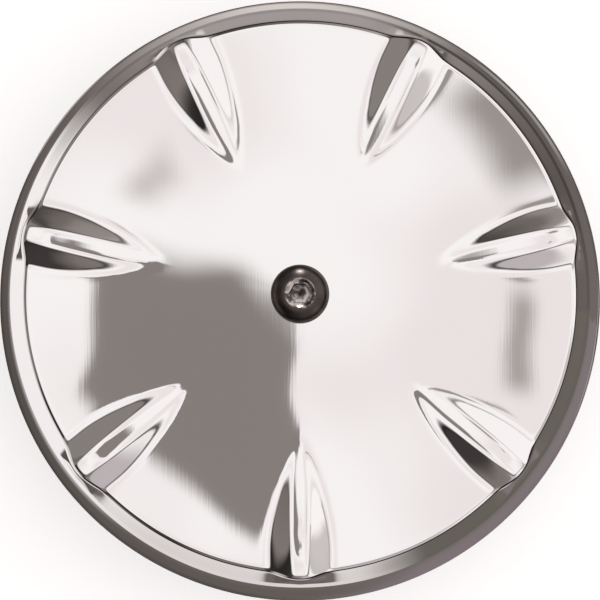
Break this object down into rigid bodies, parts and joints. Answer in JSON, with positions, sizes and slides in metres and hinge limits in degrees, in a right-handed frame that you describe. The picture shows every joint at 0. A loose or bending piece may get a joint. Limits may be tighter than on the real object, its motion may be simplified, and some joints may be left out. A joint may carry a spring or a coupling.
{
  "type": "air filter housing",
  "caption": "Round motorcycle air cleaner: domed chrome cover with radial pressed ridges and a central button-head bolt over a pleated filter on a cast backplate.",
  "frame": {"origin": "on the axis of the cover and intake bore, in the plane of the screw and breather bolt tips that the housing lies on", "axes": "+Z along the axis out through the cover, towards the rider's side; +Y towards the top of the cover as fitted; +X completes the frame, along the line of the two breather bolts"},
  "size_m": [0.176, 0.176, 0.0946],
  "materials": {
    "chrome": "polished, faint brushing left under the plating",
    "black_steel": "black oxide, oiled, semi-gloss",
    "zinc_steel": "bright zinc plate",
    "plate_steel": "pressed and plated, satin",
    "cast_aluminium": "as cast, fine grain",
    "turned_aluminium": "turned and polished",
    "wire_mesh": "coated woven wire",
    "cotton_gauze": "oiled cotton gauze, matte",
    "polyurethane": "moulded, satin",
    "rubber": "matte",
    "gasket_fibre": "pressed fibre sheet, dry",
    "copper": "soft annealed copper"
  },
  "bodies": {
    "base": {"throttle_gasket": "gasket_fibre", "breather_gasket_left": "gasket_fibre", "breather_gasket_right": "gasket_fibre", "backplate": "cast_aluminium", "velocity_stack": "turned_aluminium", "stack_seal_ring": "rubber", "throttle_screw_washer_1": "zinc_steel", "throttle_screw_washer_2": "zinc_steel", "throttle_screw_washer_3": "zinc_steel", "throttle_screw_1": "zinc_steel", "throttle_screw_2": "zinc_steel", "throttle_screw_3": "zinc_steel", "breather_washer_left": "copper", "breather_washer_right": "copper", "breather_bolt_left": "zinc_steel", "breather_bolt_right": "zinc_steel", "top_plate_post_1": "zinc_steel", "top_plate_post_2": "zinc_steel", "top_plate_post_3": "zinc_steel"},
    "filter": {"filter_lower_seal": "polyurethane", "filter_outer_mesh": "wire_mesh", "filter_pleats": "cotton_gauze", "filter_inner_mesh": "wire_mesh", "filter_upper_seal": "polyurethane"},
    "top_plate": {"top_plate": "plate_steel", "top_plate_screw_1": "zinc_steel", "top_plate_screw_2": "zinc_steel", "top_plate_screw_3": "zinc_steel", "cover_post": "zinc_steel", "cover_cushion": "rubber"},
    "cover": {"cover": "chrome"},
    "bolt_washer": {"cover_bolt_washer": "rubber"},
    "cover_bolt": {"cover_bolt": "black_steel"}
  },
  "joints": [
    {"name": "filter_lift", "type": "slide", "parent": "base", "child": "filter", "axis": [0, 0, 1], "range_m": [0, 0.055]},
    {"name": "top_plate_lift", "type": "slide", "parent": "filter", "child": "top_plate", "axis": [0, 0, 1], "range_m": [0, 0.03]},
    {"name": "cover_lift", "type": "slide", "parent": "top_plate", "child": "cover", "axis": [0, 0, 1], "range_m": [0, 0.06]},
    {"name": "cover_bolt_rise", "type": "slide", "parent": "cover", "child": "bolt_washer", "axis": [0, 0, 1], "range_m": [0, 0.0159]},
    {"name": "cover_bolt_turn", "type": "hinge", "parent": "bolt_washer", "child": "cover_bolt", "pos_m": [0, 0, 0.0896], "axis": [0, 0, 1], "range_deg": [0, 3600]}
  ],
  "couplings": [
    {"joint": "cover_bolt_rise", "follows": "cover_bolt_turn", "m_per_rad": 0.00025266}
  ]
}
